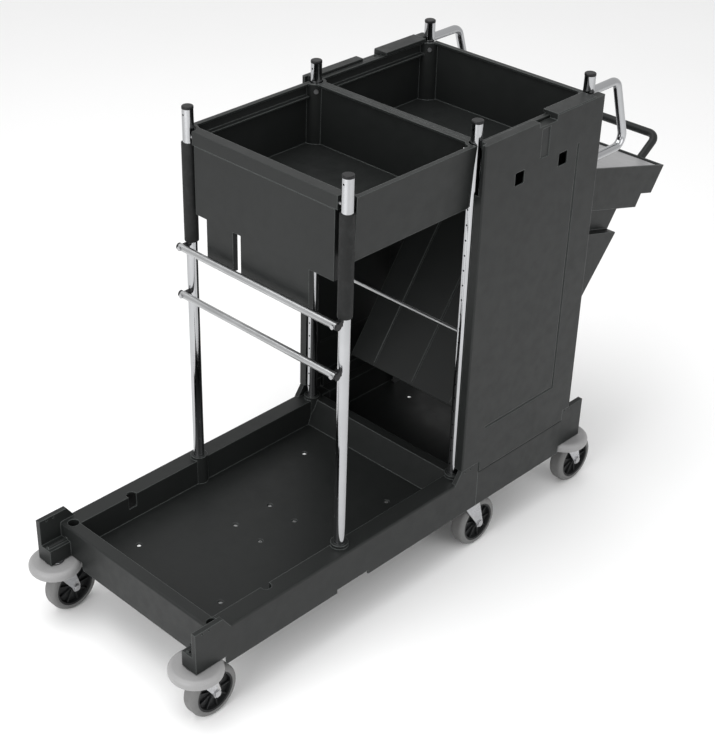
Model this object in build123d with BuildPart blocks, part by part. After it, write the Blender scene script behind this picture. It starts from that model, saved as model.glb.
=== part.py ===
"""Housekeeping cart: tray base on six castors, six posts, two deep trays, a cabinet with a tilting hopper.

Millimetres. +X runs from the open deck to the push handles, +Z is up and -Y is the left of a person pushing.
The origin is on the floor, under the middle of the whole cart. The hopper is drawn tilted open.
"""

from build123d import *
from math import cos, degrees, radians, sin, tan
import os

os.makedirs("parts", exist_ok=True)

# ================================================================ driving dimensions
# ---- posts: the three overall sizes of the frame
post_pitch = 376.5
post_y = 232.0
post_top = 1106.0
post_r = 12.7
tube_wall = 1.5
cap_height = 6.0
cap_lip = 0.3
hole_r = 2.2
hole_pitch = 36.0
hole_drop = 12.0
hole_count = 24
sleeve_wall = 3.3
sleeve_length = 230.0

# ---- clearances
running = 0.05
seat = 0.1
gap = 2.0

# ---- castors
wheel_r = 62.5
wheel_width = 36.0
tyre_thickness = 14.0
tyre_round = 10.0
hub_boss_r = 13.0
hub_rim = 4.5
axle_r = 4.0
axle_head_r = 7.0
axle_head = 4.0
castor_trail = 36.0
wheel_room = 2.0
fork_gap = 2.5
fork_wall = 3.0
bridge_thickness = 3.5
bridge_ahead = 26.0
bridge_behind = 30.0
crown_r = 22.0
crown_height = 17.0
swivel_gap = 1.0
plate_thickness = 3.5
kingpin_r = 5.0
kingpin_head = 2.5
spigot_r = 7.0
spigot_length = 24.0
pad_half = 28.0
bumper_reach = 37.5
bumper_room = 6.5

# ---- base mouldings
base_margin = 21.3
base_height = 97.0
pad_rise = 10.0
shell = 4.0
edge_round = 5.0
rim_width = 46.0
end_rim_width = 30.0
front_overhang = 392.0
seam_offset = 51.5
rear_overhang = 47.0
front_castor_offset = 426.0
mid_castor_offset = 42.0
rear_castor_offset = 46.0
castor_outset = 7.0
mid_wall_draft = 23.0
mid_rim_front = 1.5
mid_rim_back = 23.5
post_socket = 28.0
boss_wall = 7.3
boss_height = 8.0
corner_inset = 20.0
tower_rise = 28.0
tower_wall = 12.0
tower_depth = 44.0
tower_shelf_drop = 37.0
tower_reach = 22.0
lug_r = 5.0
drain_r = 4.5
drain_sink_r = 7.0
drain_sink = 2.5
pocket_r = 12.0
pocket_depth = 34.0
arch_rise = 10.0
arch_span = (-38.0, 60.0)
bolt_r = 3.0
bolt_head = 5.0

# ---- rails and rods
rail_r = 8.0
rail_gap = 7.3
rail_overhang = 6.0
upper_rail_drop = 9.0
rail_pitch = 117.0
plug_length = 5.0
plug_depth = 3.0
saddle_half = 6.0
screw_r = 2.5
cross_rod_r = 4.0
cross_rod_drop = 182.0

# ---- trays
tray_drop = 44.0
tray_depth = 142.0
tray_overhang = 12.0
tray_wall = 3.0
tray_draft = 8.0
tray_rim_width = 11.0
tray_rim_depth = 5.0
tray_front_gap = 6.0
tray_split = 1.0
tray_back_overhang = 9.0
tray_clearance = 2.8
tray_screw_drop = 16.0
band_depth = 14.0
band_height = 30.0
band_clearance = 4.0
stud_r = 3.0
stud_hold = 10.0
ledge_drop = 26.0
ledge_thickness = 4.0
ledge_depth = 7.0

# ---- front panel
front_panel_height = 251.5
front_panel_notch = 94.0
front_panel_clearance = 6.0
front_panel_wall = 3.0
right_notch_width = 34.0
left_notch_width = 69.0
slot_near = 66.0
slot_far = 90.0

# ---- side panels
panel_proud = 1.5
panel_depth = 21.5
panel_wall = 3.0
panel_front = 10.5
panel_back = 15.0
panel_rise = 6.0
panel_notch = 12.0
saddle_span = (152.0, 17.0)
notch_span = (212.0, 152.0)
recess_span = (201.0, 173.0)
recess_drop = (18.0, 86.0)
saddle_reach = 18.0
window = 30.0
window_drop = 109.0
window_front = 109.5
window_back = 120.0
groove = 6.0
groove_depth = 2.0
groove_back = 70.0
groove_front = 59.5
groove_drop = 90.0
groove_rise = 116.0
flange_cut = (11.0, 12.0, 116.0)

# ---- push handles
handle_r = 10.0
handle_drop = 40.0
handle_height = 169.0
handle_reach_high = 104.0
handle_reach_low = 160.0
handle_bend = 26.0
handle_screw = 12.0

# ---- hopper, measured in the frame of the closed hopper with its hinge at (0, 0)
hopper_tilt = 35.0
hinge_back = 41.0
hopper_side_gap = 19.3
hopper_front_gap = 68.0
hopper_low = -56.0
hopper_back_low = -60.0
hopper_back_high = -17.0
hopper_wall = 3.0
hopper_round = 3.0
hopper_top_gap = 6.4
shoulder_drop = 95.0
neck_rise = 62.0
neck_inset = 25.0
rim_slope = 19.4
rim_back = 68.0
hood_proud = 3.0
hood_wall = 4.0
hood_depth = 104.0
hood_front_draft = 37.0
cheek_depth = 70.0
cheek_draft = 23.0
step_length = 45.0
step_draft = 9.0
press_groove = 5.0
press_depth = 1.5
press_pitch = 124.0
press_top = 92.0
ear_thickness = 8.0
lid_gap = 3.0
lid_end_gap = 9.0
lid_drop = 4.0
lid_thickness = 4.0
lid_knuckle_r = 5.0
lid_rod_r = 2.5
lid_rod_inset = 10.0
lid_rest = 0.3
rib_span = (30.0, 290.0)
rib_thickness = 4.0
rib_depth = 6.0
grip_inset = 67.0
grip_r = 10.0
grip_rise = 76.0
grip_lean = 20.0
grip_bend = 22.0
pivot_r = 6.0
stop_r = 4.0
stop_radius = 45.0
stop_slack = 1.0
pin_flange = 2.0
pin_end = 0.5
bracket_wall = 5.0
bracket_foot = 8.0

# ================================================================ sizes that follow from them
both_sides = (-1, 1)
side_names = {-1: "left", 1: "right"}
tilt = radians(hopper_tilt)
slope = radians(rim_slope)
lean = radians(grip_lean)

# ---- heights, from the floor up
bridge_low = 2 * wheel_r + wheel_room
bridge_high = bridge_low + bridge_thickness
base_bottom = bridge_high + 0.5
crown_high = bridge_high + crown_height
plate_low = crown_high + swivel_gap
pad_z = plate_low + plate_thickness
floor_z = pad_z + pad_rise
rim_z = base_bottom + base_height
rim_under = rim_z - shell
tower_top = rim_z + tower_rise
tower_shelf = rim_z - tower_shelf_drop
post_bottom = floor_z + post_socket
tray_rim_z = post_top - tray_drop
tray_bottom = tray_rim_z - tray_depth
band_low = tray_rim_z - band_height
tray_screw_z = tray_rim_z - tray_screw_drop
sleeve_high = band_low - 1
sleeve_low = sleeve_high - sleeve_length
upper_rail_z = sleeve_low - upper_rail_drop
lower_rail_z = upper_rail_z - rail_pitch
rail_zs = (lower_rail_z, upper_rail_z)
cross_rod_z = upper_rail_z - cross_rod_drop
handle_high = post_top - handle_drop
handle_low = handle_high - handle_height
handle_zs = (handle_low, handle_high)
panel_top = tray_rim_z + panel_rise
hinge_z = rim_z
axle_z = wheel_r

# ---- widths
base_half_width = post_y + post_r + base_margin
inner_y = base_half_width - rim_width
tower_y = base_half_width - tower_depth
castor_y = post_y + castor_outset
room_r = crown_r + bumper_reach + bumper_room
bumper_r = crown_r + bumper_reach
inner_half = wheel_width / 2 + fork_gap
outer_half = inner_half + fork_wall
boss_r = post_r + boss_wall
sleeve_r = post_r + sleeve_wall
socket_r = post_r + running
tray_half_width = post_y + tray_overhang
tray_corner = post_r + tray_clearance
screw_wall_r = tray_corner + 2 * tray_wall + 1
band_half = post_y - sleeve_r - band_clearance
front_panel_half = band_half - front_panel_clearance
panel_outer = base_half_width + panel_proud
panel_inner = panel_outer - panel_depth
saddle_inner = panel_inner - saddle_reach
rail_half = post_y + rail_overhang
hopper_half = post_y - post_r - hopper_side_gap
neck_half = hopper_half - neck_inset
hood_half = hopper_half + hood_proud
grip_half = hopper_half - grip_inset
bracket_y = hood_half

# ---- the hopper's own outline
hopper_front = hopper_front_gap + hinge_back + mid_rim_back - post_pitch
rim_length = rim_back - hopper_front
rim_front_z = tray_bottom - hopper_top_gap - hinge_z - rim_length * sin(slope)
shoulder_z = rim_front_z - shoulder_drop


def opened(x, z):
    """Offset from the hinge, with the hopper open, of a point in the closed hopper's frame."""
    return x * cos(tilt) + z * sin(tilt), -x * sin(tilt) + z * cos(tilt)


def on_rim(along, up):
    """A point in the closed hopper's frame, from its place along the sloping rim and its height over it."""
    x = hopper_front + along * cos(slope) - up * sin(slope)
    return x, rim_front_z + along * sin(slope) + up * cos(slope)


def shoulder(x, rise):
    """Height of a line that runs parallel to the rim, over the bin's shoulder."""
    return shoulder_z + rise + (x - hopper_back_high) * tan(slope)


grip_foot = on_rim(rim_length + 2, -6)
grip_top = (grip_foot[0] + grip_rise * sin(lean), grip_foot[1] + grip_rise * cos(lean))

# ---- places along the cart, with the middle of the whole length at zero
front_reach = front_castor_offset + bumper_r
rear_reach = 2 * post_pitch - hinge_back + opened(*grip_top)[0] + grip_r
front_x = (front_reach - rear_reach) / 2
mid_x = front_x + post_pitch
rear_x = mid_x + post_pitch
hinge_x = rear_x - hinge_back
rail_x = front_x - post_r - rail_gap - rail_r
base_front_x = front_x - front_overhang
seam_x = mid_x + seam_offset
base_rear_x = rear_x + rear_overhang
cavity_front = base_front_x + end_rim_width
cavity_rear = base_rear_x - end_rim_width
front_castor_x = front_x - front_castor_offset
mid_castor_x = mid_x + mid_castor_offset
rear_castor_x = rear_x + rear_castor_offset
front_tower_x = front_castor_x - tower_reach
rear_tower_x = rear_castor_x + tower_reach
rear_tower_start = rear_x - panel_front
front_tray_x = (front_x + tray_front_gap, mid_x - tray_split)
rear_tray_x = (mid_x + tray_split, rear_x + tray_back_overhang)
band_x = front_tray_x[0] - band_depth
rod_at = on_rim(lid_rod_inset, -lid_drop - lid_thickness / 2)
rod_x = hinge_x + opened(*rod_at)[0]
rod_z = hinge_z + opened(*rod_at)[1]


def pair(x, y):
    """The two places either side of the cart's middle."""
    return [(x, -y), (x, y)]


front_posts_at = pair(front_x, post_y)
mid_posts_at = pair(mid_x, post_y)
rear_posts_at = pair(rear_x, post_y)
front_castors_at = pair(front_castor_x, castor_y)
mid_castors_at = pair(mid_castor_x, castor_y)
rear_castors_at = pair(rear_castor_x, castor_y)
ringed_castors = {
    "front_left": front_castors_at[0],
    "front_right": front_castors_at[1],
    "rear_left": rear_castors_at[0],
    "rear_right": rear_castors_at[1],
}
all_castors = {**ringed_castors, "mid_left": mid_castors_at[0], "mid_right": mid_castors_at[1]}


# ================================================================ shared ways of making solids
def save(part, name):
    """Label a finished piece and write its file."""
    part.label = name
    export_step(part, f"parts/{name}.step")


def side_plane(y):
    """A vertical plane along the cart: sketch x is +X, sketch y is +Z, and it extrudes toward -Y."""
    return Plane(origin=(0, y, 0), x_dir=(1, 0, 0), z_dir=(0, -1, 0))


def hopper_plane(y):
    """The same in the tilted hopper's own frame, with its origin on the hinge."""
    across, down = opened(1, 0)
    return Plane(origin=(hinge_x, y, hinge_z), x_dir=(across, 0, down), z_dir=(0, -1, 0))


def block(x_span, y_span, z_span, mode=Mode.ADD, corner=0.0):
    """A block given by its spans along X, Y and Z, with optional rounded plan corners."""
    x_low, x_high = sorted(x_span)
    y_low, y_high = sorted(y_span)
    with BuildSketch(Plane.XY.offset(z_span[0])) as plan:
        with Locations(((x_low + x_high) / 2, (y_low + y_high) / 2)):
            if corner:
                RectangleRounded(x_high - x_low, y_high - y_low, corner)
            else:
                Rectangle(x_high - x_low, y_high - y_low)
    extrude(plan.sketch, amount=z_span[1] - z_span[0], mode=mode)


def uprights(places, radius, z_span, mode=Mode.ADD):
    """Upright cylinders at the given plan places."""
    with BuildSketch(Plane.XY.offset(z_span[0])) as plan:
        with Locations(*places):
            Circle(radius)
    extrude(plan.sketch, amount=z_span[1] - z_span[0], mode=mode)


def profile(plane, points, depth, mode=Mode.ADD, corner=0.0):
    """A closed outline on a plane, with optional rounded corners, pushed back by a depth."""
    with BuildSketch(plane) as outline:
        with BuildLine():
            Polyline(*points, close=True)
        make_face()
        if corner:
            fillet(outline.vertices(), corner)
    extrude(outline.sketch, amount=depth, mode=mode)


def y_rod(radius, x, z, y_span, mode=Mode.ADD):
    """A cylinder along Y."""
    y_low, y_high = sorted(y_span)
    with BuildSketch(side_plane(y_high)) as disc:
        with Locations((x, z)):
            Circle(radius)
    extrude(disc.sketch, amount=y_high - y_low, mode=mode)


def x_rod(radius, y, z, x_span, mode=Mode.ADD):
    """A cylinder along X."""
    x_low, x_high = sorted(x_span)
    with BuildSketch(Plane.YZ.offset(x_low)) as disc:
        with Locations((y, z)):
            Circle(radius)
    extrude(disc.sketch, amount=x_high - x_low, mode=mode)


def corner_rod(x, y, toward_x, radius, span, mode=Mode.ADD):
    """A cylinder that runs diagonally from a post's middle into a tray's corner."""
    inward = -1 if y > 0 else 1
    face = Plane(origin=(x, y, tray_screw_z), z_dir=(toward_x, inward, 0))
    with BuildSketch(face.offset(span[0])) as disc:
        Circle(radius)
    extrude(disc.sketch, amount=span[1] - span[0], mode=mode)


def side_strip(side, depth):
    """The span in Y of a strip along one outer side of the base."""
    return side * base_half_width, side * (base_half_width - depth)


# ================================================================ base mouldings
bolt_span = inner_y - 70
bolt_ys = [i * bolt_span / 3 for i in (-3, -1, 1, 3)]
bolt_z = (base_bottom + floor_z - shell) / 2
boss_span = (floor_z - shell, rim_z + boss_height)
deck_end = mid_x - mid_rim_front - mid_wall_draft
deck_middle = (cavity_front + deck_end) / 2
deck_reach = (deck_end - cavity_front) / 2 - 96
deck_drains = pair(deck_middle - deck_reach, inner_y - 83) + pair(deck_middle + deck_reach, inner_y - 83)
deck_drains += pair(deck_middle - 54, 41) + pair(deck_middle + 54, 41)


def base_skin(section, x_low, x_high, outer_end):
    """The skirt and rim of a base section, rounded on top and hollow from below."""
    block((x_low, x_high), (-base_half_width, base_half_width), (base_bottom, rim_z))
    top = section.edges().group_by(Axis.Z)[-1]
    end_edge = top.filter_by(Axis.Y).sort_by(Axis.X)[outer_end]
    fillet(top.filter_by(Axis.X) + ShapeList([end_edge]), edge_round)
    hollow_y = base_half_width - shell
    block((x_low + shell, x_high - shell), (-hollow_y, hollow_y), (base_bottom, rim_under), Mode.SUBTRACT)


def raised_wall(side, x_low, x_high, ramp_low, ramp_high):
    """A raised outer wall at a corner, ramped down to the rim at either end where asked."""
    foot_z = rim_z - tower_wall
    points = [(x_low, tower_top), (x_high, tower_top)]
    points.append((x_high + (tower_rise if ramp_high else 0), foot_z))
    points.append((x_low - (tower_rise if ramp_low else 0), foot_z))
    profile(side_plane(max(side_strip(side, tower_wall))), points, tower_wall)


def drain_holes(places):
    """Countersunk drain holes in a tray floor."""
    uprights(places, drain_r, (floor_z - shell - 1, floor_z), Mode.SUBTRACT)
    with Locations(*[(x, y, floor_z) for x, y in places]):
        sink = (Align.CENTER, Align.CENTER, Align.MAX)
        Cone(drain_r, drain_sink_r, drain_sink, align=sink, mode=Mode.SUBTRACT)


def base_fixings(corner_castors, post_places):
    """Castor sockets and room, post sockets and the bolt holes at the seam."""
    spigot_span = (pad_z - 1, pad_z + spigot_length + 1)
    uprights(corner_castors + mid_castors_at, spigot_r + running, spigot_span, Mode.SUBTRACT)
    uprights(corner_castors, room_r, (base_bottom - 1, pad_z), Mode.SUBTRACT)
    uprights(mid_castors_at, crown_r + 1, (base_bottom - 1, pad_z), Mode.SUBTRACT)
    uprights(post_places, socket_r, (post_bottom, tower_top), Mode.SUBTRACT)
    for y in bolt_ys:
        x_rod(bolt_r + seat, y, bolt_z, (seam_x - 2 * shell, seam_x + 2 * shell), Mode.SUBTRACT)


with BuildPart() as base_front:
    base_skin(base_front, base_front_x, seam_x, 0)
    wall_y = inner_y + shell
    block((cavity_front - shell, seam_x), (-wall_y, wall_y), (floor_z - shell, rim_under))
    for side in both_sides:
        corner = side_strip(side, tower_depth)
        block((front_tower_x, base_front_x + shell), corner, (pad_z, tower_shelf))
        block((base_front_x, cavity_front), corner, (pad_z, rim_under))
        block((front_tower_x, base_front_x + shell), side_strip(side, tower_wall), (pad_z, rim_z))
        raised_wall(side, front_tower_x, base_front_x + corner_inset, False, True)
        raised_wall(side, mid_x - 8, seam_x, True, False)
        pad_y = (side * (castor_y - pad_half), side * base_half_width)
        block((mid_castor_x - pad_half, seam_x), pad_y, (pad_z, rim_under))
        # a half-round lug lies across each corner shelf
        lug_y = side * (tower_y + 14)
        x_rod(lug_r, lug_y, tower_shelf, (front_tower_x + 4, base_front_x + 1))
    uprights(front_posts_at + mid_posts_at, boss_r, boss_span)
    corner_sockets = pair(base_front_x + corner_inset, post_y)
    uprights(corner_sockets, boss_r, (pad_z, rim_under))
    # the open tray ends in a sloping wall at the middle posts, and the cabinet floor starts behind it
    tray_outline = [(cavity_front, rim_z + 1), (cavity_front, floor_z), (deck_end, floor_z)]
    tray_outline.append((deck_end + mid_wall_draft, rim_z + 1))
    profile(side_plane(inner_y), tray_outline, 2 * inner_y, Mode.SUBTRACT)
    cabinet_floor = (mid_x + mid_rim_back, seam_x + 1)
    block(cabinet_floor, (-inner_y, inner_y), (floor_z, rim_z + 1), Mode.SUBTRACT)
    uprights(front_posts_at + mid_posts_at, boss_r, boss_span)
    base_fixings(front_castors_at, front_posts_at + mid_posts_at + corner_sockets)
    # a shallow lifting arch in each skirt, a round pocket in each inner wall, and small fixing holes
    for side in both_sides:
        arch_x = (front_x + arch_span[0], front_x + arch_span[1])
        arch_z = (base_bottom - 1, base_bottom + arch_rise)
        block(arch_x, side_strip(side, 2 * shell), arch_z, Mode.SUBTRACT)
        pocket = [(cavity_front + 149, side * (inner_y + shell))]
        uprights(pocket, pocket_r, (rim_z - pocket_depth, rim_z + 1), Mode.SUBTRACT)
        for x in (front_tower_x + 20, front_tower_x + 38, mid_x + 4, mid_x + 22):
            y_rod(hole_r, x, tower_top - 6, side_strip(side, tower_wall), Mode.SUBTRACT)
    drain_holes(deck_drains)
save(base_front.part, "base_front")

with BuildPart() as base_rear:
    base_skin(base_rear, seam_x, base_rear_x, -1)
    block((seam_x, cavity_rear + shell), (-wall_y, wall_y), (floor_z - shell, rim_under))
    for side in both_sides:
        corner = side_strip(side, tower_depth)
        block((rear_castor_x - pad_half - 12, rear_tower_x), corner, (pad_z, rim_under))
        block((base_rear_x - shell, rear_tower_x), corner, (pad_z, rim_z - 2))
        raised_wall(side, rear_tower_start, rear_tower_x, False, False)
        pad_y = (side * (castor_y - pad_half), side * base_half_width)
        block((seam_x, mid_castor_x + pad_half), pad_y, (pad_z, rim_under))
    rear_boss_span = (floor_z - shell, rim_z)
    uprights(rear_posts_at, boss_r, rear_boss_span)
    block((seam_x - 1, cavity_rear), (-inner_y, inner_y), (floor_z, rim_z + 1), Mode.SUBTRACT)
    uprights(rear_posts_at, boss_r, rear_boss_span)
    base_fixings(rear_castors_at, rear_posts_at)
    for side in both_sides:
        for x in (rear_x, rear_x + 20):
            y_rod(hole_r, x, tower_top - 6, side_strip(side, tower_wall), Mode.SUBTRACT)
    drain_holes(pair(rear_x - 121, inner_y - 87))
save(base_rear.part, "base_rear")

with BuildPart() as section_bolts:
    for y in bolt_ys:
        x_rod(bolt_r, y, bolt_z, (seam_x - shell - 1, seam_x + shell + 1))
        x_rod(2 * bolt_r, y, bolt_z, (seam_x - shell - bolt_head, seam_x - shell))
        x_rod(2 * bolt_r, y, bolt_z, (seam_x + shell, seam_x + shell + bolt_head))
save(section_bolts.part, "section_bolts")

# ================================================================ posts, caps and grip sleeves
post_end = post_r + 1


def post_tubes(places):
    """Two upright tubes."""
    uprights(places, post_r, (post_bottom, post_top))
    uprights(places, post_r - tube_wall, (post_bottom - 1, post_top + 1), Mode.SUBTRACT)


with BuildPart() as front_posts:
    post_tubes(front_posts_at)
    for x, y in front_posts_at:
        corner_rod(x, y, 1, screw_r + seat, (0, post_end), Mode.SUBTRACT)
        for z in rail_zs:
            x_rod(screw_r + seat, y, z, (x - post_end, x), Mode.SUBTRACT)
        x_rod(hole_r, y, post_top - hole_drop, (x - post_end, x), Mode.SUBTRACT)
save(front_posts.part, "front_posts")

with BuildPart() as mid_posts:
    post_tubes(mid_posts_at)
    for x, y in mid_posts_at:
        corner_rod(x, y, -1, screw_r + seat, (0, post_end), Mode.SUBTRACT)
        corner_rod(x, y, 1, screw_r + seat, (0, post_end), Mode.SUBTRACT)
        for i in range(hole_count):
            x_rod(hole_r, y, post_top - hole_drop - i * hole_pitch, (x - post_end, x), Mode.SUBTRACT)
    y_rod(cross_rod_r + seat, mid_x, cross_rod_z, (-post_y, post_y), Mode.SUBTRACT)
save(mid_posts.part, "mid_posts")

with BuildPart() as rear_posts:
    post_tubes(rear_posts_at)
    for x, y in rear_posts_at:
        corner_rod(x, y, -1, screw_r + seat, (0, post_end), Mode.SUBTRACT)
        for z in handle_zs:
            x_rod(screw_r + seat, y, z, (x, x + post_end), Mode.SUBTRACT)
save(rear_posts.part, "rear_posts")

with BuildPart() as post_caps:
    post_places = front_posts_at + mid_posts_at + rear_posts_at
    uprights(post_places, post_r - tube_wall, (post_top - hole_drop / 2, post_top))
    uprights(post_places, post_r + cap_lip, (post_top, post_top + cap_height))
    fillet(post_caps.edges().group_by(Axis.Z)[-1], 2.5)
save(post_caps.part, "post_caps")

for side in both_sides:
    with BuildPart() as grip_sleeve:
        uprights([(front_x, side * post_y)], sleeve_r, (sleeve_low, sleeve_high))
        fillet(grip_sleeve.edges(), 1.5)
        uprights([(front_x, side * post_y)], post_r, (sleeve_low - 1, sleeve_high + 1), Mode.SUBTRACT)
    save(grip_sleeve.part, f"grip_sleeve_{side_names[side]}")

# ================================================================ rails across the front, and the cross rod
for name, z in (("upper_rail", upper_rail_z), ("lower_rail", lower_rail_z)):
    with BuildPart() as rail:
        y_rod(rail_r, rail_x, z, (-rail_half, rail_half))
        y_rod(rail_r - tube_wall, rail_x, z, (-rail_half - 1, rail_half + 1), Mode.SUBTRACT)
        for side in both_sides:
            x_rod(screw_r + seat, side * post_y, z, (rail_x - rail_r - 1, rail_x + rail_r + 1), Mode.SUBTRACT)
    save(rail.part, name)

with BuildPart() as rail_plugs:
    for z in rail_zs:
        for side in both_sides:
            y_rod(rail_r - tube_wall, rail_x, z, (side * (rail_half - plug_depth), side * rail_half))
            y_rod(rail_r, rail_x, z, (side * rail_half, side * (rail_half + plug_length)))
save(rail_plugs.part, "rail_plugs")

with BuildPart() as rail_saddles:
    for z in rail_zs:
        for side in both_sides:
            strip = (side * post_y - saddle_half, side * post_y + saddle_half)
            block((rail_x + 2, front_x - post_r + 4), strip, (z - 6, z + 6))
    for z in rail_zs:
        y_rod(rail_r, rail_x, z, (-rail_half, rail_half), Mode.SUBTRACT)
        for side in both_sides:
            x_rod(screw_r + seat, side * post_y, z, (rail_x, front_x), Mode.SUBTRACT)
    uprights(front_posts_at, post_r, (lower_rail_z - 20, upper_rail_z + 20), Mode.SUBTRACT)
save(rail_saddles.part, "rail_saddles")

with BuildPart() as cross_rod:
    y_rod(cross_rod_r, mid_x, cross_rod_z, (-post_y + 4, post_y - 4))
save(cross_rod.part, "cross_rod")


# ================================================================ trays
def tray_plan(x_low, x_high, wall, corner, posts):
    """The plan of a tray's inside, kept clear of the bosses round its posts."""
    with BuildSketch(Plane.XY) as plan:
        with Locations(((x_low + x_high) / 2, 0)):
            RectangleRounded(x_high - x_low - 2 * wall, 2 * (tray_half_width - wall), corner)
        with Locations(*posts):
            Circle(screw_wall_r, mode=Mode.SUBTRACT)
    return plan.sketch


def deep_tray(x_low, x_high, posts):
    """An open tray with a flat rim, drafted walls and a ledge along each side, cut clear of the posts."""
    taper = degrees(tray_draft / tray_depth)
    with BuildSketch(Plane.XY.offset(tray_rim_z)) as outer:
        with Locations(((x_low + x_high) / 2, 0)):
            Rectangle(x_high - x_low, 2 * tray_half_width)
    extrude(outer.sketch, amount=-tray_depth, taper=taper)
    with BuildSketch(Plane.XY.offset(tray_rim_z)) as mouth:
        add(tray_plan(x_low, x_high, tray_rim_width, 8, posts))
    extrude(mouth.sketch, amount=-tray_rim_depth, mode=Mode.SUBTRACT)
    with BuildSketch(Plane.XY.offset(tray_rim_z - tray_rim_depth)) as well:
        add(tray_plan(x_low, x_high, tray_wall + 1, 12, posts))
    well_depth = tray_depth - tray_rim_depth - tray_wall
    extrude(well.sketch, amount=-well_depth, taper=taper, mode=Mode.SUBTRACT)
    ledge_z = tray_rim_z - ledge_drop
    for side in both_sides:
        strip = (side * (tray_half_width - 2), side * (tray_half_width - tray_rim_width - ledge_depth))
        block((x_low + 26, x_high - 26), strip, (ledge_z - ledge_thickness, ledge_z))


def tray_fixings(x, y, toward_x, radius):
    """Room for a post down the whole height of a tray, and a screw hole with its spot face."""
    uprights([(x, y)], radius, (tray_bottom - 10, tray_rim_z + 10), Mode.SUBTRACT)
    corner_rod(x, y, toward_x, screw_r + seat, (post_r, screw_wall_r + 1), Mode.SUBTRACT)
    corner_rod(x, y, toward_x, 2 * screw_r + seat, (screw_wall_r, screw_wall_r + 12), Mode.SUBTRACT)


with BuildPart() as front_tray:
    deep_tray(*front_tray_x, front_posts_at + mid_posts_at)
    block((band_x, front_tray_x[0] + 2), (-band_half, band_half), (band_low, tray_rim_z))
    fillet(front_tray.edges().filter_by(Axis.Y).group_by(Axis.Z)[-1].sort_by(Axis.X)[0], 2)
    for x, y in front_posts_at:
        tray_fixings(x, y, 1, sleeve_r + 1.5)
    for x, y in mid_posts_at:
        tray_fixings(x, y, -1, tray_corner)
    for side in both_sides:
        hold = (side * (band_half - stud_hold), side * band_half)
        y_rod(stud_r, front_x - 2, tray_screw_z, hold, Mode.SUBTRACT)
save(front_tray.part, "front_tray")

with BuildPart() as rear_tray:
    deep_tray(*rear_tray_x, mid_posts_at + rear_posts_at)
    for x, y in mid_posts_at:
        tray_fixings(x, y, 1, tray_corner)
    for x, y in rear_posts_at:
        tray_fixings(x, y, -1, tray_corner)
save(rear_tray.part, "rear_tray")

# ================================================================ screws of the frame
tray_screws = [(place, 1) for place in front_posts_at + mid_posts_at]
tray_screws += [(place, -1) for place in mid_posts_at + rear_posts_at]
with BuildPart() as frame_screws:
    for (x, y), toward_x in tray_screws:
        corner_rod(x, y, toward_x, screw_r, (post_r - 3, screw_wall_r))
        corner_rod(x, y, toward_x, 2 * screw_r, (screw_wall_r, screw_wall_r + 3))
    for side in both_sides:
        y = side * post_y
        y_rod(stud_r, front_x - 2, tray_screw_z, (side * (post_y - post_r), side * (band_half - stud_hold)))
        for z in rail_zs:
            x_rod(screw_r, y, z, (rail_x - rail_r, front_x - post_r + 4))
            x_rod(2 * screw_r, y, z, (rail_x - rail_r - 2.5, rail_x - rail_r))
        for z in handle_zs:
            x_rod(screw_r, y, z, (rear_x + post_r - 4, rear_x + post_r + handle_screw))
    # the studs start on the round of the posts
    uprights(front_posts_at, post_r, (tray_screw_z - 4, tray_screw_z - screw_r), Mode.SUBTRACT)
save(frame_screws.part, "frame_screws")

# ================================================================ front panel
panel_low_z = band_low - 0.5 - front_panel_height
notch_z = panel_low_z + front_panel_notch
with BuildPart() as front_panel:
    with BuildSketch(Plane.YZ.offset(band_x)) as face:
        with BuildLine():
            Polyline(
                (-front_panel_half, band_low - 0.5),
                (front_panel_half, band_low - 0.5),
                (front_panel_half, notch_z),
                (front_panel_half - right_notch_width, notch_z),
                (front_panel_half - right_notch_width, panel_low_z),
                (slot_far, panel_low_z),
                (slot_far, notch_z),
                (slot_near, notch_z),
                (slot_near, panel_low_z),
                (left_notch_width - front_panel_half, panel_low_z),
                (left_notch_width - front_panel_half, notch_z),
                (-front_panel_half, notch_z),
                close=True,
            )
        make_face()
    extrude(face.sketch, amount=band_depth - 0.5)
    offset(amount=-front_panel_wall, openings=front_panel.faces().sort_by(Axis.X)[-1])
save(front_panel.part, "front_panel")

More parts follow.
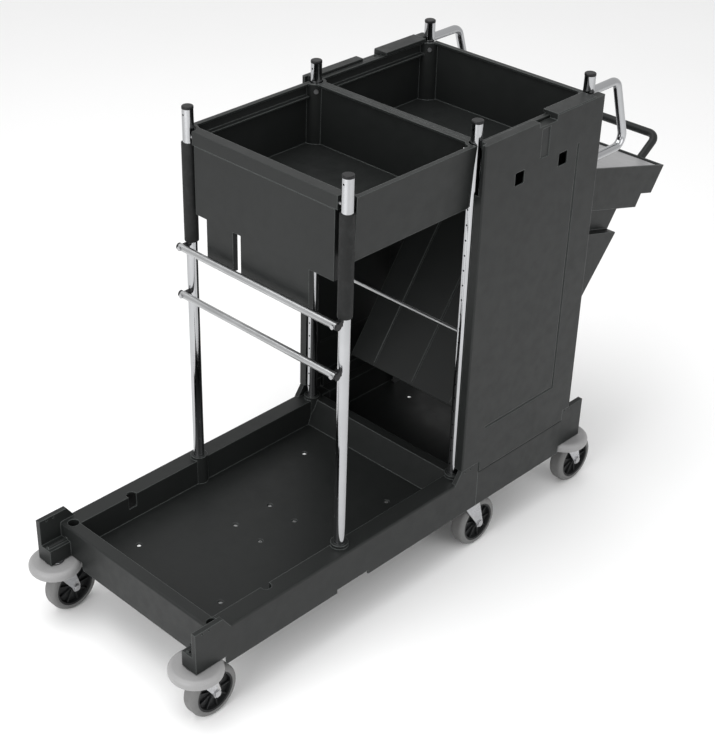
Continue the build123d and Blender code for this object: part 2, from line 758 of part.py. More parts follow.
# ================================================================ side panels
panel_x = (mid_x - panel_front, rear_x + panel_back)
panel_low = rim_z + gap
panel_step = tower_top + gap
notch_x = (rear_x - notch_span[0], rear_x - notch_span[1])
outline = [(panel_x[0], panel_step), (seam_x + 1, panel_step), (seam_x + 1, panel_low)]
outline += [(rear_tower_start - gap, panel_low), (rear_tower_start - gap, panel_step)]
outline += [(panel_x[1], panel_step), (panel_x[1], panel_top), (notch_x[1], panel_top)]
outline += [(notch_x[1], panel_top - panel_notch), (notch_x[0], panel_top - panel_notch)]
outline += [(notch_x[0], panel_top), (panel_x[0], panel_top)]
for side in both_sides:
    outer = side * panel_outer
    inner = side * panel_inner
    beyond = side * (panel_inner - 1)
    skin = (outer, side * (panel_outer - groove_depth))
    with BuildPart() as side_panel:
        profile(side_plane(max(outer, inner)), outline, panel_depth)
        face = side_panel.faces().sort_by(Axis.Y)[-1 if side > 0 else 0]
        ends = face.edges().filter_by(Axis.Z).sort_by(Axis.X)
        fillet([ends[0], ends[-1]], 4)
        hollow_x = (panel_x[0] + panel_wall, panel_x[1] - panel_wall)
        hollow_z = (panel_step + panel_wall, panel_top - panel_notch - panel_wall)
        block(hollow_x, (side * (panel_outer - panel_wall), beyond), hollow_z, Mode.SUBTRACT)
        # a saddle reaches over the tray's rim
        saddle_x = (rear_x - saddle_span[0], rear_x - saddle_span[1])
        block(saddle_x, (side * (panel_outer - 1), side * saddle_inner), (tray_rim_z + 1, panel_top + 3))
        # recess under the notch, two windows and the long groove
        recess_x = (rear_x - recess_span[0], rear_x - recess_span[1])
        block(recess_x, skin, (panel_top - recess_drop[1], panel_top - recess_drop[0]), Mode.SUBTRACT)
        for x in (mid_x + window_front, rear_x - window_back):
            window_z = panel_top - window_drop
            through = (side * (panel_outer + 1), beyond)
            half = window / 2
            block((x - half, x + half), through, (window_z - half, window_z + half), Mode.SUBTRACT)
        groove_x = rear_x - groove_back
        groove_z = panel_low + groove_rise
        block((groove_x, groove_x + groove), skin, (groove_z, panel_top - groove_drop), Mode.SUBTRACT)
        block((mid_x + groove_front, groove_x), skin, (groove_z, groove_z + groove), Mode.SUBTRACT)
        # the front flange is cut back beside the post
        flange_x = (panel_x[0] - 1, panel_x[0] + flange_cut[0])
        flange_y = (beyond, side * (panel_inner + flange_cut[1]))
        block(flange_x, flange_y, (panel_top - flange_cut[2], panel_top + 1), Mode.SUBTRACT)
    save(side_panel.part, f"side_panel_{side_names[side]}")

# ================================================================ push handles
for side in both_sides:
    with BuildPart() as push_handle:
        with BuildLine(side_plane(side * post_y)) as path:
            FilletPolyline(
                (rear_x, handle_high),
                (rear_x + handle_reach_high, handle_high),
                (rear_x + handle_reach_low, handle_low),
                (rear_x, handle_low),
                radius=handle_bend,
            )
        with BuildSketch(Plane.YZ.offset(rear_x)) as section:
            with Locations((side * post_y, handle_high)):
                Circle(handle_r)
        sweep(section.sketch, path=path.line)
        uprights([(rear_x, side * post_y)], post_r, (handle_low - 30, handle_high + 30), Mode.SUBTRACT)
        screw_span = (rear_x, rear_x + post_r + handle_screw + 1)
        for z in handle_zs:
            x_rod(screw_r + seat, side * post_y, z, screw_span, Mode.SUBTRACT)
    save(push_handle.part, f"push_handle_{side_names[side]}")

# ================================================================ hopper
neck_back = hopper_back_high - hopper_wall
neck_front = hopper_front + hopper_wall
throat_half = neck_half - hopper_wall


def sloping_band(x_low, x_high, low, high):
    """An outline between two lines that run parallel to the rim."""
    top = [(x_high, shoulder(x_high, high)), (x_low, shoulder(x_low, high))]
    return [(x_low, shoulder(x_low, low)), (x_high, shoulder(x_high, low))] + top


hopper_pin_places = (((0, 0), pivot_r), ((-stop_radius, 0), stop_r))


with BuildPart() as hopper_bin:
    outline = [(hopper_front, hopper_low), (hopper_back_low, hopper_low)]
    outline += [(hopper_back_high, shoulder(hopper_back_high, 0)), (hopper_front, shoulder(hopper_front, 0))]
    profile(hopper_plane(hopper_half), outline, 2 * hopper_half, corner=hopper_round)
    neck = sloping_band(hopper_front, hopper_back_high, -10, neck_rise)
    profile(hopper_plane(neck_half), neck, 2 * neck_half)
    floor_low = hopper_low + hopper_wall
    inside = [(neck_front, floor_low), (hopper_back_low - hopper_wall, floor_low)]
    inside += [(x, shoulder(x, -hopper_wall)) for x in (neck_back, neck_front)]
    inside_half = hopper_half - hopper_wall
    profile(hopper_plane(inside_half), inside, 2 * inside_half, Mode.SUBTRACT)
    throat = sloping_band(neck_front, neck_back, -20, neck_rise + 5)
    profile(hopper_plane(throat_half), throat, 2 * throat_half, Mode.SUBTRACT)
    # three pressed grooves down the front wall
    for y in (-press_pitch, 0, press_pitch):
        groove_depths = (hopper_front - 1, hopper_front + press_depth)
        groove_heights = (hopper_low + 8, shoulder_z - press_top)
        cut = [(groove_depths[0], groove_heights[0]), (groove_depths[1], groove_heights[0])]
        cut += [(groove_depths[1], groove_heights[1]), (groove_depths[0], groove_heights[1])]
        profile(hopper_plane(y + press_groove / 2), cut, press_groove, Mode.SUBTRACT)
    # an ear on each side carries the pivot pin and the stop pin
    for side in both_sides:
        ear = [(-75, -50), (-10, -12), (8, -12), (14, 0), (8, 12), (-10, 12), (-62, 60)]
        ear_y = max(side * hopper_half, side * (hopper_half - ear_thickness))
        profile(hopper_plane(ear_y), ear, ear_thickness)
        for place, radius in hopper_pin_places:
            with BuildSketch(hopper_plane(ear_y + 1)) as bore:
                with Locations(place):
                    Circle(radius)
            extrude(bore.sketch, amount=ear_thickness + 2, mode=Mode.SUBTRACT)
save(hopper_bin.part, "hopper_bin")

step_start = rim_length - cheek_draft - step_length
hood_points = [(0, 0), (rim_length, 0), (rim_length - cheek_draft, -cheek_depth), (step_start, -cheek_depth)]
hood_points += [(step_start - step_draft, -hood_depth), (-hood_front_draft, -hood_depth)]
hood_outline = [on_rim(*p) for p in hood_points]
well_low = hood_wall - cheek_depth
hood_floor = hood_wall - hood_depth
well_points = [(hood_wall, 1), (rim_length - hood_wall, 1), (rim_length - cheek_draft - hood_wall, well_low)]
well_points += [(step_start - hood_wall, well_low), (step_start - step_draft - hood_wall, hood_floor)]
well_points += [(hood_wall - hood_front_draft, hood_floor)]
well_outline = [on_rim(*p) for p in well_points]
well_half = hood_half - hood_wall
ledge_top = -lid_drop - lid_thickness - lid_rest
with BuildPart() as hopper_hood:
    profile(hopper_plane(hood_half), hood_outline, 2 * hood_half)
    profile(hopper_plane(well_half), well_outline, 2 * well_half, Mode.SUBTRACT)
    # the hood sits round the neck's top and stays open to the bin
    mouth = sloping_band(hopper_front, hopper_back_high, 0, neck_rise)
    profile(hopper_plane(neck_half), mouth, 2 * neck_half, Mode.SUBTRACT)
    way_through = sloping_band(neck_front, neck_back - 4, 0, neck_rise + 23)
    profile(hopper_plane(throat_half), way_through, 2 * throat_half, Mode.SUBTRACT)
    for side in both_sides:
        rib = [(x, z) for x, z in ((rib_span[0], ledge_top), (rib_span[1], ledge_top))]
        rib += [(rib_span[1], ledge_top - rib_thickness), (rib_span[0], ledge_top - rib_thickness)]
        rib_y = max(side * (well_half + 1), side * (well_half - rib_depth))
        profile(hopper_plane(rib_y), [on_rim(*p) for p in rib], rib_depth + 1)
    y_rod(lid_rod_r, rod_x, rod_z, (-hood_half - 1, hood_half + 1), Mode.SUBTRACT)
save(hopper_hood.part, "hopper_hood")

with BuildPart() as hopper_lid:
    lid_half = well_half - lid_gap
    lid_end = rim_length - hood_wall - lid_end_gap
    lid_points = [(lid_rod_inset, -lid_drop), (lid_end, -lid_drop)]
    lid_points += [(lid_end, -lid_drop - lid_thickness), (lid_rod_inset, -lid_drop - lid_thickness)]
    profile(hopper_plane(lid_half), [on_rim(*p) for p in lid_points], 2 * lid_half)
    y_rod(lid_knuckle_r, rod_x, rod_z, (-lid_half, lid_half))
    y_rod(lid_rod_r + running, rod_x, rod_z, (-lid_half - 1, lid_half + 1), Mode.SUBTRACT)
save(hopper_lid.part, "hopper_lid")

with BuildPart() as lid_rod:
    y_rod(lid_rod_r, rod_x, rod_z, (-hood_half, hood_half))
save(lid_rod.part, "lid_rod")

foot_x, foot_z = opened(*grip_foot)
rise_x, rise_z = opened(sin(lean), cos(lean))
grip_origin = (hinge_x + foot_x, 0, hinge_z + foot_z)
grip_plane = Plane(origin=grip_origin, x_dir=(0, 1, 0), z_dir=(rise_z, 0, -rise_x))
with BuildPart() as hopper_grip:
    with BuildLine(grip_plane) as path:
        FilletPolyline(
            (-grip_half, 0),
            (-grip_half, grip_rise),
            (grip_half, grip_rise),
            (grip_half, 0),
            radius=grip_bend,
        )
    with BuildSketch(Plane(origin=path.line @ 0, z_dir=(rise_x, 0, rise_z))) as section:
        Circle(grip_r)
    sweep(section.sketch, path=path.line)
    profile(hopper_plane(hood_half), hood_outline, 2 * hood_half, Mode.SUBTRACT)
save(hopper_grip.part, "hopper_grip")

with BuildPart() as hopper_pins:
    shank_end = bracket_y + bracket_wall + pin_end
    for side in both_sides:
        for place, radius in hopper_pin_places:
            x = hinge_x + opened(*place)[0]
            z = hinge_z + opened(*place)[1]
            y_rod(radius, x, z, (side * (hopper_half - ear_thickness + 1), side * shank_end))
            y_rod(radius + pin_flange, x, z, (side * shank_end, side * (shank_end + 2.5)))
save(hopper_pins.part, "hopper_pins")

with BuildPart() as hopper_brackets:
    slot_half = stop_r + stop_slack
    closed_at = 180
    open_at = closed_at - hopper_tilt
    hinge = Vector(hinge_x, hinge_z)
    for side in both_sides:
        plate_y = (side * bracket_y, side * (bracket_y + bracket_wall))
        plate = [(hinge_x - 62, floor_z), (hinge_x + 26, floor_z), (hinge_x + 16, hinge_z + 14)]
        plate += [(hinge_x - 40, hinge_z + 44), (hinge_x - 62, hinge_z + 20)]
        profile(side_plane(max(plate_y)), plate, bracket_wall, corner=4)
        foot_y = (side * bracket_y, side * (bracket_y + bracket_wall + bracket_foot))
        block((hinge_x - 58, hinge_x + 22), foot_y, (floor_z, floor_z + shell))
        y_rod(pivot_r + running, hinge_x, hinge_z, plate_y, Mode.SUBTRACT)
        # the stop pin runs in an arc between open and closed
        with BuildSketch(side_plane(max(plate_y))) as slot:
            with BuildLine():
                CenterArc(hinge, stop_radius + slot_half, open_at, hopper_tilt)
                CenterArc(hinge, stop_radius - slot_half, open_at, hopper_tilt)
                CenterArc(hinge + Vector(stop_radius, 0).rotate(Axis.Z, open_at), slot_half, open_at, -180)
                CenterArc(hinge + Vector(stop_radius, 0).rotate(Axis.Z, closed_at), slot_half, closed_at, 180)
            make_face()
        extrude(slot.sketch, amount=bracket_wall, mode=Mode.SUBTRACT)
save(hopper_brackets.part, "hopper_brackets")

# ================================================================ castors
hub_r = wheel_r - tyre_thickness
half_width = wheel_width / 2
hub_boss = inner_half - 0.5
bore_r = axle_r + running

with BuildPart() as castor_plates:
    for x, y in all_castors.values():
        uprights([(x, y)], spigot_r, (pad_z, pad_z + spigot_length))
        uprights([(x, y)], crown_r - 2, (plate_low, pad_z))
        uprights([(x, y)], kingpin_r, (bridge_low - 1, plate_low))
        uprights([(x, y)], kingpin_r + kingpin_head, (bridge_low - 2, bridge_low - 0.5))
save(castor_plates.part, "castor_plates")

for name, (x, y) in all_castors.items():
    wheel_x = x + castor_trail
    with BuildPart() as fork:
        bridge_y = (y - outer_half, y + outer_half)
        block((x - bridge_ahead, x + bridge_behind), bridge_y, (bridge_low, bridge_high), corner=6)
        uprights([(x, y)], crown_r, (bridge_high - 1, crown_high))
        fillet(fork.edges().group_by(Axis.Z)[-1], 4)
        for wall_y in (y + outer_half, y - inner_half):
            leg = [(x - 20, bridge_high), (x + bridge_behind, bridge_high), (wheel_x + 11, axle_z + 3)]
            leg += [(wheel_x + 6, axle_z - 10), (wheel_x - 6, axle_z - 10), (wheel_x - 11, axle_z + 3)]
            profile(side_plane(wall_y), leg, fork_wall)
        uprights([(x, y)], kingpin_r + running, (bridge_low - 1, crown_high + 1), Mode.SUBTRACT)
        y_rod(bore_r, wheel_x, axle_z, (y - outer_half - 1, y + outer_half + 1), Mode.SUBTRACT)
    save(fork.part, f"castor_fork_{name}")

    with BuildPart() as axle:
        y_rod(axle_r, wheel_x, axle_z, (y - outer_half, y + outer_half))
        for side in both_sides:
            head_y = (y + side * outer_half, y + side * (outer_half + axle_head))
            y_rod(axle_head_r, wheel_x, axle_z, head_y)
    save(axle.part, f"castor_axle_{name}")

    wheel_plane = Plane(origin=(wheel_x, y, axle_z), x_dir=(1, 0, 0), z_dir=(0, 0, 1))
    spin = Axis((wheel_x, y, axle_z), (0, 1, 0))
    with BuildPart() as hub:
        with BuildSketch(wheel_plane):
            with BuildLine():
                Polyline(
                    (bore_r, -hub_boss),
                    (hub_boss_r, -hub_boss),
                    (hub_boss_r, -10),
                    (hub_r - hub_rim - 2, -8),
                    (hub_r - hub_rim, 1 - half_width),
                    (hub_r, 1 - half_width),
                    (hub_r, half_width - 1),
                    (hub_r - hub_rim, half_width - 1),
                    (hub_r - hub_rim - 2, 8),
                    (hub_boss_r, 10),
                    (hub_boss_r, hub_boss),
                    (bore_r, hub_boss),
                    close=True,
                )
            make_face()
        revolve(axis=spin)
    save(hub.part, f"wheel_hub_{name}")

    with BuildPart() as tyre:
        with BuildSketch(wheel_plane) as tread:
            with Locations(((hub_r + wheel_r) / 2, 0)):
                Rectangle(tyre_thickness, wheel_width)
            fillet(tread.vertices().group_by(Axis.X)[-1], tyre_round)
        revolve(axis=spin)
    save(tyre.part, f"wheel_tyre_{name}")

for name, (x, y) in ringed_castors.items():
    low = bridge_low + 0.5
    high = pad_z - 1.5
    seat_r = crown_r + seat
    with BuildPart() as bumper:
        with BuildSketch(Plane(origin=(x, y, 0), x_dir=(1, 0, 0), z_dir=(0, -1, 0))):
            with BuildLine():
                Polyline(
                    (seat_r, high - 1),
                    (seat_r, bridge_high),
                    (bumper_r - 17.5, bridge_high),
                    (bumper_r - 13.5, low),
                    (bumper_r - 7.5, low),
                )
                RadiusArc((bumper_r - 7.5, low), (bumper_r, low + 8), -8)
                Line((bumper_r, low + 8), (bumper_r, low + 12))
                RadiusArc((bumper_r, low + 12), (bumper_r - 10.5, high), -11)
                Line((bumper_r - 10.5, high), (seat_r, high - 1))
            make_face()
        revolve(axis=Axis((x, y, 0), (0, 0, 1)))
    save(bumper.part, f"castor_bumper_{name}")
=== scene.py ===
"""Looks of the housekeeping cart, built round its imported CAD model. Metres, in the model's own frame."""

from math import cos, radians, sin, tau

import bmesh
import bpy
from mathutils import Matrix, Vector


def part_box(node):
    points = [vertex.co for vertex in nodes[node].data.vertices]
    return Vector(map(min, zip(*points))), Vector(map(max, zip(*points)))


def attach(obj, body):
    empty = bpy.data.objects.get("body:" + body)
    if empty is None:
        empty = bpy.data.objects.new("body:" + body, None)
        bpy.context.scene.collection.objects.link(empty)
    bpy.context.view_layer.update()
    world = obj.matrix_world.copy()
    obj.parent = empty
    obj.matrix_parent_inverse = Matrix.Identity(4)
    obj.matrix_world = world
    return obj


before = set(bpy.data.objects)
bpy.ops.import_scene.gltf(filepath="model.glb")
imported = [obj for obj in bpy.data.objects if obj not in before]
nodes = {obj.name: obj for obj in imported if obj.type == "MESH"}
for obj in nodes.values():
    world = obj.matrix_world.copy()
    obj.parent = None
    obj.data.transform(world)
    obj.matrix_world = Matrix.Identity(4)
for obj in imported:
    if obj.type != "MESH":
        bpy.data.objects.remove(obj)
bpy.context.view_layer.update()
scene = bpy.context.scene


# ================================================================ places taken from the model
def middle(node):
    """The middle of a node's box."""
    low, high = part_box(node)
    return (low + high) / 2


front_x = middle("front_posts").x
castors = ("front_left", "front_right", "mid_left", "mid_right", "rear_left", "rear_right")
ringed_castors = [name for name in castors if not name.startswith("mid")]
sides = ("left", "right")


# ================================================================ camera, light and floor
def camera():
    """The photographer's view: a long lens from high over the open deck's left corner."""
    data = bpy.data.cameras.new("camera")
    data.sensor_width = 36.0
    data.lens = 77.07
    data.shift_x = 0.0899
    data.shift_y = 0.0259
    data.clip_end = 50.0
    obj = bpy.data.objects.new("camera", data)
    yaw, pitch, roll = 0.7992, 0.5686, 0.00404
    forward = Vector((cos(yaw) * cos(pitch), sin(yaw) * cos(pitch), -sin(pitch)))
    turn = forward.to_track_quat("-Z", "Y").to_matrix().to_4x4()
    place = Vector((front_x - 1.9934, -2.1271, 2.3832))
    obj.matrix_world = Matrix.Translation(place) @ turn @ Matrix.Rotation(roll, 4, "Z")
    scene.collection.objects.link(obj)
    scene.camera = obj


def area_light(name, place, target, size, power):
    """A soft rectangular light aimed at a point."""
    data = bpy.data.lights.new(name, "AREA")
    data.shape = "RECTANGLE"
    data.size, data.size_y = size
    data.energy = power
    obj = bpy.data.objects.new(name, data)
    aim = Vector(target) - Vector(place)
    obj.matrix_world = Matrix.Translation(place) @ aim.to_track_quat("-Z", "Y").to_matrix().to_4x4()
    scene.collection.objects.link(obj)


def studio():
    """Soft light all round, a large light overhead and two at the sides."""
    area_light("overhead", (-0.6, 0.3, 3.6), (0, 0, 0.4), (3.0, 3.0), 70)
    area_light("front_fill", (-3.4, -0.4, 1.6), (-0.2, 0, 0.6), (2.4, 2.0), 55)
    area_light("left_fill", (0.4, -3.4, 1.6), (0.2, 0, 0.5), (3.0, 1.8), 28)
    world = bpy.data.worlds.new("studio")
    world.use_nodes = True
    scene.world = world
    sky = world.node_tree.nodes["Background"]
    sky.inputs["Color"].default_value = (1.0, 1.0, 1.0, 1.0)
    sky.inputs["Strength"].default_value = 0.8
    scene.view_settings.view_transform = "Standard"


# ================================================================ material building blocks
class Material:
    """A procedural material: its node tree, its shader and short ways of adding nodes."""

    def __init__(self, name, colour, roughness, metallic=0.0, specular=0.5):
        self.data = bpy.data.materials.new(name)
        self.data.use_nodes = True
        self.tree = self.data.node_tree
        self.shader = self.tree.nodes["Principled BSDF"]
        self.shader.inputs["Metallic"].default_value = metallic
        self.shader.inputs["Specular IOR Level"].default_value = specular
        self.shader.inputs["Base Color"].default_value = (*colour, 1)
        self.shader.inputs["Roughness"].default_value = roughness
        self.rounded = None
        self.height = None

    def add(self, kind, **settings):
        node = self.tree.nodes.new(kind)
        for key, value in settings.items():
            setattr(node, key, value)
        return node

    def link(self, source, target):
        self.tree.links.new(source, target)

    def place(self, stretch=(1, 1, 1)):
        """Coordinates in metres that stay with the piece, stretched for grain that runs one way."""
        source = self.add("ShaderNodeTexCoord").outputs["Object"]
        mapping = self.add("ShaderNodeMapping")
        mapping.inputs["Scale"].default_value = stretch
        self.link(source, mapping.inputs["Vector"])
        return mapping.outputs["Vector"]

    def noise(self, scale, detail=2.0, stretch=(1, 1, 1), roughness=0.5):
        node = self.add("ShaderNodeTexNoise")
        node.inputs["Scale"].default_value = scale
        node.inputs["Detail"].default_value = detail
        node.inputs["Roughness"].default_value = roughness
        self.link(self.place(stretch), node.inputs["Vector"])
        return node.outputs["Fac"]

    def cells(self, scale, stretch=(1, 1, 1)):
        node = self.add("ShaderNodeTexVoronoi")
        node.inputs["Scale"].default_value = scale
        self.link(self.place(stretch), node.inputs["Vector"])
        return node.outputs["Distance"]

    def span(self, source, low, high, from_low=0.0, from_high=1.0):
        """A value carried from one span to another, clamped."""
        node = self.add("ShaderNodeMapRange")
        node.inputs["From Min"].default_value = from_low
        node.inputs["From Max"].default_value = from_high
        node.inputs["To Min"].default_value = low
        node.inputs["To Max"].default_value = high
        self.link(source, node.inputs["Value"])
        return node.outputs["Result"]

    def math(self, kind, a, b):
        node = self.add("ShaderNodeMath", operation=kind)
        for socket, value in zip(node.inputs, (a, b)):
            if isinstance(value, (int, float)):
                socket.default_value = value
            else:
                self.link(value, socket)
        return node.outputs["Value"]

    def mix(self, factor, a, b):
        """A colour between two colours, either of which may come from other nodes."""
        node = self.add("ShaderNodeMix", data_type="RGBA")
        self.link(factor, node.inputs["Factor"])
        for socket, value in zip((node.inputs[6], node.inputs[7]), (a, b)):
            if isinstance(value, tuple):
                socket.default_value = (*value, 1)
            else:
                self.link(value, socket)
        return node.outputs[2]

    def edges(self, radius):
        """1 on sharp edges and 0 elsewhere, from how far a rounded normal leaves the true one."""
        bevel = self.add("ShaderNodeBevel", samples=4)
        bevel.inputs["Radius"].default_value = radius
        true_normal = self.add("ShaderNodeNewGeometry").outputs["Normal"]
        dot = self.add("ShaderNodeVectorMath", operation="DOT_PRODUCT")
        self.link(bevel.outputs["Normal"], dot.inputs[0])
        self.link(true_normal, dot.inputs[1])
        self.rounded = bevel.outputs["Normal"]
        return self.span(dot.outputs["Value"], 1.0, 0.0, 0.78, 0.99)

    def bump(self, height, strength, distance):
        """Adds relief over what is there already."""
        node = self.add("ShaderNodeBump")
        node.inputs["Strength"].default_value = strength
        node.inputs["Distance"].default_value = distance
        self.link(height, node.inputs["Height"])
        if self.height is not None:
            self.link(self.height, node.inputs["Normal"])
        self.height = node.outputs["Normal"]
        self.link(self.height, self.shader.inputs["Normal"])

    def set_colour(self, source):
        self.link(source, self.shader.inputs["Base Color"])

    def set_roughness(self, source):
        self.link(source, self.shader.inputs["Roughness"])


def tint(colour, factor):
    """A colour made lighter or darker."""
    return tuple(min(1.0, channel * factor) for channel in colour)


def moulded_plastic(name, colour, roughness, grain=0.5, round_edges=0.003, edge_highlight=9.0, specular=0.22):
    """Moulded plastic: mottled tone, a fine spark-eroded grain, rounded, polished edges with a painted
    highlight along them, and faint scuffs.
    """
    m = Material(name, colour, roughness, specular=specular)
    edge = m.edges(round_edges)
    m.height = m.rounded
    clouds = m.span(m.noise(5.0, 3.0), 0.0, 1.0, 0.35, 0.65)
    specks = m.span(m.noise(900.0, 2.0), 0.0, 1.0, 0.3, 0.7)
    body = m.mix(clouds, tint(colour, 0.9), tint(colour, 1.1))
    body = m.mix(specks, body, tint(colour, 1.16))
    scuffs = m.span(m.noise(26.0, 6.0, (1, 6, 1), 0.75), 0.0, 0.35, 0.62, 0.78)
    body = m.mix(scuffs, body, tint(colour, 1.9))
    # painted highlight: colour lifted on sharp edges, standing in for light caught along the rims
    body = m.mix(edge, body, tint(colour, edge_highlight))
    m.set_colour(body)
    rough = m.math("ADD", m.span(m.noise(40.0, 4.0), roughness - 0.05, roughness + 0.07, 0.3, 0.7),
                   m.span(edge, 0.0, -0.08))
    m.set_roughness(rough)
    m.bump(m.cells(1500.0), 0.12 * grain, 0.0004)
    m.bump(m.noise(420.0, 3.0), 0.10 * grain, 0.0006)
    m.bump(m.noise(6.0, 1.0), 0.12, 0.004)
    return m


def chrome_plate(name):
    """Bright chrome on drawn tube: long faint draw lines, fine polishing hairs and a little haze."""
    colour = (0.42, 0.425, 0.435)
    m = Material(name, colour, 0.07, 1.0)
    haze = m.span(m.noise(9.0, 4.0), 0.045, 0.12, 0.35, 0.7)
    hairs = m.span(m.noise(700.0, 2.0, (1, 1, 0.02)), 0.0, 0.05, 0.55, 0.8)
    m.set_roughness(m.math("ADD", haze, hairs))
    tarnish = m.span(m.noise(14.0, 3.0), 0.0, 1.0, 0.3, 0.7)
    m.set_colour(m.mix(tarnish, tint(colour, 0.93), tint(colour, 1.03)))
    m.bump(m.noise(500.0, 2.0, (1, 1, 0.01)), 0.02, 0.0002)
    return m


def satin_steel(name, along, colour=(0.43, 0.435, 0.44), roughness=0.33):
    """Satin steel with its brush lines running along one axis."""
    m = Material(name, colour, roughness, 1.0)
    stretch = tuple(0.02 if axis == along else 1.0 for axis in range(3))
    lines = m.noise(1100.0, 3.0, stretch)
    m.set_roughness(m.span(lines, roughness - 0.07, roughness + 0.09, 0.3, 0.7))
    shade = m.mix(m.span(m.noise(12.0, 3.0), 0.0, 1.0, 0.35, 0.65), tint(colour, 0.9), tint(colour, 1.06))
    m.set_colour(m.mix(m.span(lines, 0.0, 0.5, 0.5, 0.8), shade, tint(colour, 0.8)))
    m.bump(lines, 0.06, 0.0002)
    return m


def zinc_plate(name):
    """Zinc-plated pressed steel: soft spangle, slight blue-grey tone, rounded edges with a painted highlight
    along them, and rubbed spots.
    """
    colour = (0.48, 0.485, 0.5)
    m = Material(name, colour, 0.3, 1.0)
    edge = m.edges(0.0012)
    m.height = m.rounded
    spangle = m.cells(160.0)
    tone = m.mix(m.span(spangle, 0.0, 1.0, 0.1, 0.8), tint(colour, 0.88), tint(colour, 1.05))
    tone = m.mix(m.span(m.noise(30.0, 4.0), 0.0, 0.6, 0.5, 0.75), tone, (0.52, 0.5, 0.47))
    # painted highlight: lighter colour on the sharp edges
    m.set_colour(m.mix(edge, tone, tint(colour, 1.1)))
    m.set_roughness(m.span(m.noise(60.0, 4.0), 0.22, 0.4, 0.3, 0.7))
    m.bump(m.noise(260.0, 3.0), 0.05, 0.0004)
    return m


def dull_steel(name):
    """Machined steel of screws, pins and axles, with turning marks and dark specks."""
    colour = (0.42, 0.42, 0.43)
    m = Material(name, colour, 0.38, 1.0)
    specks = m.span(m.noise(300.0, 4.0), 0.0, 0.8, 0.6, 0.8)
    m.set_colour(m.mix(specks, tint(colour, 1.05), tint(colour, 0.5)))
    m.set_roughness(m.span(m.noise(180.0, 3.0), 0.3, 0.5, 0.3, 0.7))
    m.bump(m.cells(900.0), 0.06, 0.0003)
    return m


def soft_rubber(name):
    """Matt black rubber with fine rings round an upright sleeve and dusty hollows."""
    colour = (0.0095, 0.01, 0.01)
    m = Material(name, colour, 0.62, specular=0.22)
    dust = m.span(m.noise(70.0, 5.0), 0.0, 0.5, 0.5, 0.8)
    m.set_colour(m.mix(dust, colour, tint(colour, 2.4)))
    m.set_roughness(m.span(m.noise(200.0, 3.0), 0.55, 0.72, 0.3, 0.7))
    rings = m.add("ShaderNodeTexWave", bands_direction="Z")
    rings.inputs["Scale"].default_value = 95.0
    m.link(m.place(), rings.inputs["Vector"])
    m.bump(rings.outputs["Fac"], 0.12, 0.0005)
    m.bump(m.noise(900.0, 2.0), 0.1, 0.0003)
    return m


def grey_tread(name):
    """Grey non-marking rubber: matt, with grime worked into the tread."""
    colour = (0.13, 0.13, 0.129)
    m = Material(name, colour, 0.55, specular=0.35)
    grime = m.span(m.noise(45.0, 6.0, (1, 1, 1), 0.7), 0.0, 0.45, 0.5, 0.8)
    m.set_colour(m.mix(grime, tint(colour, 1.05), (0.1, 0.098, 0.093)))
    m.set_roughness(m.span(m.noise(120.0, 3.0), 0.45, 0.68, 0.3, 0.7))
    m.bump(m.noise(500.0, 3.0), 0.08, 0.0004)
    return m


def pale_floor(name):
    """The studio's pale floor, with the least variation that keeps it from being flat."""
    colour = (0.93, 0.93, 0.93)
    m = Material(name, colour, 0.85, specular=0.2)
    m.set_colour(m.mix(m.noise(1.2, 2.0), tint(colour, 0.985), tint(colour, 1.01)))
    return m


charcoal = moulded_plastic("charcoal_plastic", (0.0115, 0.0126, 0.0123), 0.4)
hub_dark = moulded_plastic("hub_plastic", (0.01, 0.0105, 0.011), 0.42, 0.4, 0.0008, 3.0)
cap_black = moulded_plastic("black_plastic", (0.008, 0.008, 0.0085), 0.36, 0.3, 0.0008, 3.0)
pale_grey = moulded_plastic("grey_plastic", (0.235, 0.234, 0.235), 0.42, 0.3, 0.001, 1.15, 0.4)
lid_grey = moulded_plastic("lid_grey", (0.25, 0.25, 0.254), 0.4, 0.3, 0.001, 1.15, 0.4)
chrome = chrome_plate("chrome_steel")
satin_rail = satin_steel("satin_steel", 1)
bracket_steel = satin_steel("bracket_steel", 2, (0.36, 0.36, 0.37), 0.38)
zinc = zinc_plate("zinc_steel")
screws = dull_steel("screw_steel")
sleeve_rubber = soft_rubber("sleeve_rubber")
tread = grey_tread("grey_tyre")

finish_of = {name: charcoal for name in nodes}
finish_of.update({name: chrome for name in ("front_posts", "mid_posts", "rear_posts")})
finish_of.update({f"push_handle_{side}": chrome for side in sides})
finish_of.update({name: satin_rail for name in ("upper_rail", "lower_rail", "cross_rod")})
finish_of.update({name: cap_black for name in ("post_caps", "rail_plugs", "rail_saddles")})
finish_of.update({name: screws for name in ("section_bolts", "frame_screws", "lid_rod", "hopper_pins")})
finish_of.update({f"grip_sleeve_{side}": sleeve_rubber for side in sides})
finish_of["castor_plates"] = zinc
finish_of["hopper_brackets"] = bracket_steel
finish_of["hopper_lid"] = lid_grey
for castor in castors:
    finish_of[f"castor_fork_{castor}"] = zinc
    finish_of[f"castor_axle_{castor}"] = screws
    finish_of[f"wheel_hub_{castor}"] = hub_dark
    finish_of[f"wheel_tyre_{castor}"] = tread
for castor in ringed_castors:
    finish_of[f"castor_bumper_{castor}"] = pale_grey


sharp_angle = radians(32)


def dress_nodes():
    """Each carried-over node gets its finish, and its round faces are shaded smooth."""
    for name, obj in nodes.items():
        obj.data.materials.clear()
        obj.data.materials.append(finish_of[name].data)
        obj.data.shade_smooth()
        obj.data.set_sharp_from_angle(angle=sharp_angle)


def floor():
    """A plain pale floor."""
    mesh = bpy.data.meshes.new("floor")
    half = 14.0
    corners = [(-half, -half, 0), (half, -half, 0), (half, half, 0), (-half, half, 0)]
    mesh.from_pydata(corners, [], [(0, 1, 2, 3)])
    obj = bpy.data.objects.new("floor", mesh)
    scene.collection.objects.link(obj)
    mesh.materials.append(pale_floor("pale_floor").data)


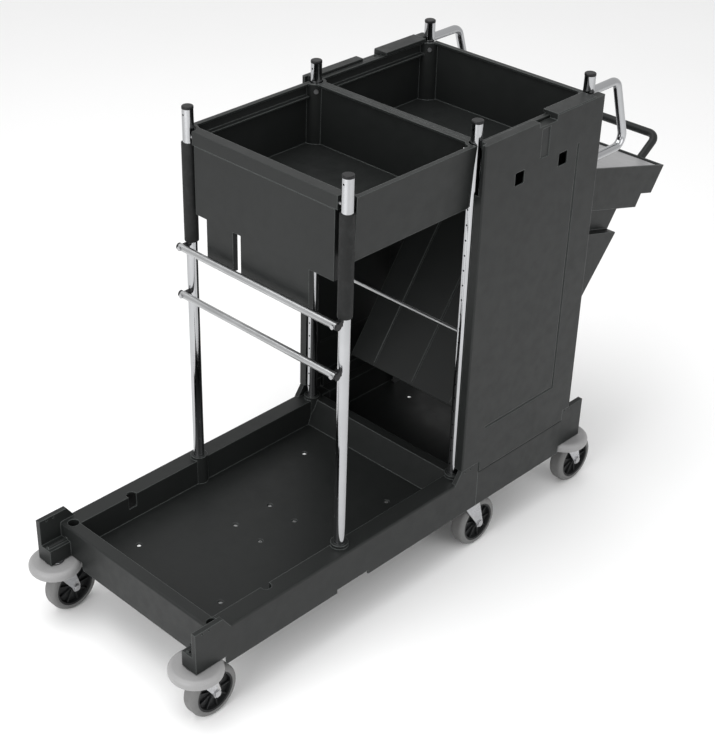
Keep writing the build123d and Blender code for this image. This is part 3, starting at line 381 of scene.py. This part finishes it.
# ================================================================ detail pieces
def piece(name, mesh, body, finish):
    """A finished mesh turned into a piece that rides on a body."""
    bmesh.ops.recalc_face_normals(mesh, faces=mesh.faces)
    data = bpy.data.meshes.new(name)
    mesh.to_mesh(data)
    mesh.free()
    data.materials.append(finish.data)
    data.shade_smooth()
    data.set_sharp_from_angle(angle=sharp_angle)
    obj = bpy.data.objects.new(name, data)
    scene.collection.objects.link(obj)
    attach(obj, body)


def lathe(mesh, outline, count, centre, turn=0.0, outward=1):
    """Turns a closed outline of (radius, reach) about a line along Y through a centre."""
    rings = []
    for step in range(count):
        angle = turn + tau * step / count
        ring = []
        for radius, reach in outline:
            offset = Vector((radius * cos(angle), outward * reach, radius * sin(angle)))
            ring.append(mesh.verts.new(centre + offset))
        rings.append(ring)
    for step in range(count):
        here, there = rings[step], rings[(step + 1) % count]
        for i in range(len(outline)):
            j = (i + 1) % len(outline)
            mesh.faces.new((here[i], there[i], there[j], here[j]))


def loft(mesh, sections):
    """Joins sections with the same number of corners, and closes both ends."""
    rings = [[mesh.verts.new(corner) for corner in section] for section in sections]
    for here, there in zip(rings, rings[1:]):
        for i in range(len(here)):
            j = (i + 1) % len(here)
            mesh.faces.new((here[i], there[i], there[j], here[j]))
    mesh.faces.new(rings[0][::-1])
    mesh.faces.new(rings[-1])


axle_head = 0.004
nut_turn = 0.2
washer_outline = [(0.0072, 0.0001), (0.0098, 0.0001), (0.0102, 0.0005), (0.0098, 0.0010), (0.0072, 0.0010)]
nut_outline = [
    (0.0071, 0.0010), (0.0082, 0.0010), (0.0088, 0.0015),
    (0.0088, 0.0032), (0.0082, 0.0037), (0.0071, 0.0037),
]
rib_count = 9
rib_inner_r, rib_outer_r = 0.0125, 0.0445
rib_flare = 1.3
# reach from the wheel's middle and half thickness, from the web out to the rib's rounded top
rib_levels = ((0.0075, 0.0016), (0.0135, 0.0012), (0.0142, 0.0006))


def axle_nuts(castor):
    """A chamfered hexagon nut over a washer, at each end of a castor's axle."""
    low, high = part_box(f"castor_axle_{castor}")
    centre = (low + high) / 2
    mesh = bmesh.new()
    for outward, end_y in ((-1, low.y), (1, high.y)):
        face = Vector((centre.x, end_y - outward * axle_head, centre.z))
        lathe(mesh, washer_outline, 40, face, outward=outward)
        lathe(mesh, nut_outline, 6, face, nut_turn, outward)
    piece(f"axle_nuts_{castor}", mesh, f"fork_{castor}", screws)


def hub_ribs(castor):
    """Tapered spokes between a wheel's boss and its rim, on both faces of the web."""
    centre = middle(f"wheel_hub_{castor}")
    mesh = bmesh.new()
    for outward in (-1, 1):
        for i in range(rib_count):
            angle = tau * i / rib_count
            along = Vector((cos(angle), 0, sin(angle)))
            across = Vector((-sin(angle), 0, cos(angle)))
            inner, outer = centre + along * rib_inner_r, centre + along * rib_outer_r
            sections = []
            for reach, half in rib_levels:
                lift = Vector((0, outward * reach, 0))
                foot, tip = across * half * rib_flare, across * half
                corners = (inner - foot, outer - tip, outer + tip, inner + foot)
                sections.append([corner + lift for corner in corners])
            loft(mesh, sections)
    piece(f"hub_ribs_{castor}", mesh, f"wheel_{castor}", hub_dark)


camera()
studio()
floor()
dress_nodes()
for castor in castors:
    axle_nuts(castor)
    hub_ribs(castor)
